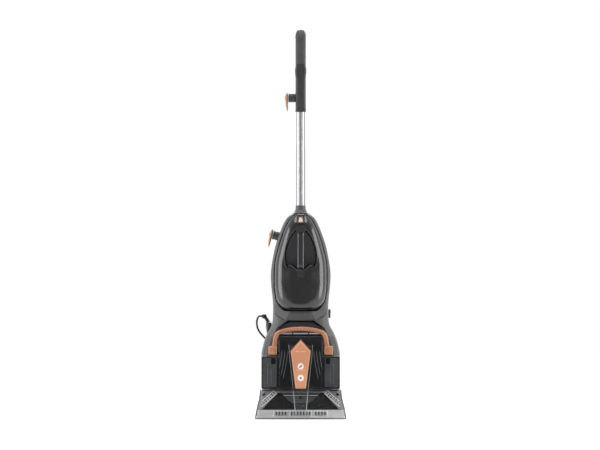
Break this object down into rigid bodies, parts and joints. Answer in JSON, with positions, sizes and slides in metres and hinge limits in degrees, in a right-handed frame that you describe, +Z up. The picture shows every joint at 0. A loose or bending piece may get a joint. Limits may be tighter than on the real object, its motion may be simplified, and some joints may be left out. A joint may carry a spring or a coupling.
{
  "type": "upright carpet cleaner",
  "caption": "Upright carpet washer: clear suction nozzle, driven brush, lift-off dirty and clean water tanks, reclining body, chrome tube, loop grip and a coiled mains lead.",
  "frame": {"origin": "on the floor, under the middle of the machine without its lead", "axes": "+Z up, -Y towards the nozzle at the front, +X to the right as seen from the front"},
  "size_m": [0.273, 0.4997, 1.1669],
  "materials": {
    "graphite": "satin",
    "black": "satin",
    "rubber": "matte",
    "tread": "matte",
    "copper": "satin metallic paint",
    "chrome": "polished",
    "steel": "satin",
    "smoked": "translucent gloss",
    "clear": "transparent gloss"
  },
  "bodies": {
    "base": {"base_chassis": "black", "base_side_left": "graphite", "base_side_right": "graphite", "base_top_cover": "graphite", "belt_cover": "black", "brush_housing": "black", "brush_motor": "steel", "drive_belt": "rubber", "nozzle_cover": "clear", "nozzle_duct": "clear", "pivot_pin_left": "steel", "pivot_pin_right": "steel", "rear_axle": "steel", "squeegee": "rubber", "tank_deck": "black", "cord_coil": "rubber", "power_plug": "black", "cord_tube": "rubber"},
    "upright": {"body_front_shell": "graphite", "body_rear_shell": "graphite", "bulkhead": "black", "pivot_arm_left": "black", "pivot_arm_right": "black", "suction_motor": "steel", "water_pump": "black", "tube_collar": "graphite", "chrome_tube": "chrome", "handle_left": "black", "handle_right": "black", "grip_pad": "rubber", "upper_hook_post": "black", "lower_hook_post": "black", "lower_hook": "copper", "cord_outlet": "graphite", "strain_relief": "rubber", "exhaust_grille": "black"},
    "fan": {"suction_fan": "steel"},
    "selector": {"selector_knob": "black"},
    "upper_hook_swivel": {"upper_hook": "copper"},
    "trigger": {"trigger": "copper"},
    "switch": {"power_switch": "black"},
    "clean_tank": {"clean_tank_shell": "smoked", "clean_tank_back": "smoked", "tank_gasket": "rubber", "recess_cup": "smoked", "tank_grip": "smoked"},
    "latch": {"latch_button": "copper"},
    "dirty_tank": {"dirty_tank_shell": "smoked", "dirty_tank_lid": "smoked", "tank_duct": "clear", "front_plate": "copper"},
    "float": {"tank_float": "clear"},
    "carry_handle": {"carry_handle": "copper"},
    "brush": {"brush_roller": "rubber", "brush_pulley": "black"},
    "motor_shaft": {"motor_pulley": "steel"},
    "wheel_left": {"wheel_left": "tread"},
    "wheel_right": {"wheel_right": "tread"},
    "pedal": {"recline_pedal": "copper"}
  },
  "joints": [
    {"name": "recline", "type": "hinge", "parent": "base", "child": "upright", "pos_m": [0, 0.075, 0.075], "axis": [-1, 0, 0], "range_deg": [0, 50], "deforming": ["cord_tube"]},
    {"name": "brush_spin", "type": "hinge", "parent": "base", "child": "brush", "pos_m": [0, -0.1, 0.0255], "axis": [1, 0, 0], "continuous": true},
    {"name": "motor_spin", "type": "hinge", "parent": "base", "child": "motor_shaft", "pos_m": [0, -0.02, 0.043], "axis": [1, 0, 0], "continuous": true},
    {"name": "wheel_left_spin", "type": "hinge", "parent": "base", "child": "wheel_left", "pos_m": [0, 0.125, 0.047], "axis": [1, 0, 0], "continuous": true},
    {"name": "wheel_right_spin", "type": "hinge", "parent": "base", "child": "wheel_right", "pos_m": [0, 0.125, 0.047], "axis": [1, 0, 0], "continuous": true},
    {"name": "pedal_press", "type": "hinge", "parent": "base", "child": "pedal", "pos_m": [0, 0.15, 0.0285], "axis": [-1, 0, 0], "range_deg": [0, 10], "stiffness_Nm_per_rad": 0.5},
    {"name": "dirty_tank_lift", "type": "slide", "parent": "base", "child": "dirty_tank", "axis": [0, -0.7071, 0.7071], "range_m": [0, 0.12]},
    {"name": "float_rise", "type": "slide", "parent": "dirty_tank", "child": "float", "axis": [0, 0, 1], "range_m": [0, 0.03]},
    {"name": "carry_handle_fold", "type": "hinge", "parent": "dirty_tank", "child": "carry_handle", "pos_m": [0, -0.1, 0.2], "axis": [1, 0, 0], "range_deg": [0, 90]},
    {"name": "fan_spin", "type": "hinge", "parent": "upright", "child": "fan", "pos_m": [0, 0.045, 0.263], "axis": [0, 0, 1], "continuous": true},
    {"name": "selector_turn", "type": "hinge", "parent": "upright", "child": "selector", "pos_m": [0.0842, 0.03, 0.312], "axis": [1, 0, 0], "range_deg": [0, 90]},
    {"name": "upper_hook_turn", "type": "hinge", "parent": "upright", "child": "upper_hook_swivel", "pos_m": [-0.0417, 0.03, 0.9615], "axis": [-1, 0, 0], "range_deg": [0, 180]},
    {"name": "trigger_pull", "type": "hinge", "parent": "upright", "child": "trigger", "pos_m": [0, 0.1245, 1.111], "axis": [1, 0, 0], "range_deg": [0, 10], "stiffness_Nm_per_rad": 0.15},
    {"name": "switch_rock", "type": "hinge", "parent": "upright", "child": "switch", "pos_m": [0, 0.12, 0.348], "axis": [1, 0, 0], "range_deg": [0, 10]},
    {"name": "clean_tank_lift", "type": "slide", "parent": "upright", "child": "clean_tank", "axis": [0, -0.7071, 0.7071], "range_m": [0, 0.15]},
    {"name": "latch_press", "type": "slide", "parent": "clean_tank", "child": "latch", "axis": [0, 1, 0], "range_m": [0, 0.004], "stiffness_N_per_m": 300}
  ],
  "couplings": [
    {"joint": "brush_spin", "follows": "motor_spin", "ratio": 0.8}
  ]
}
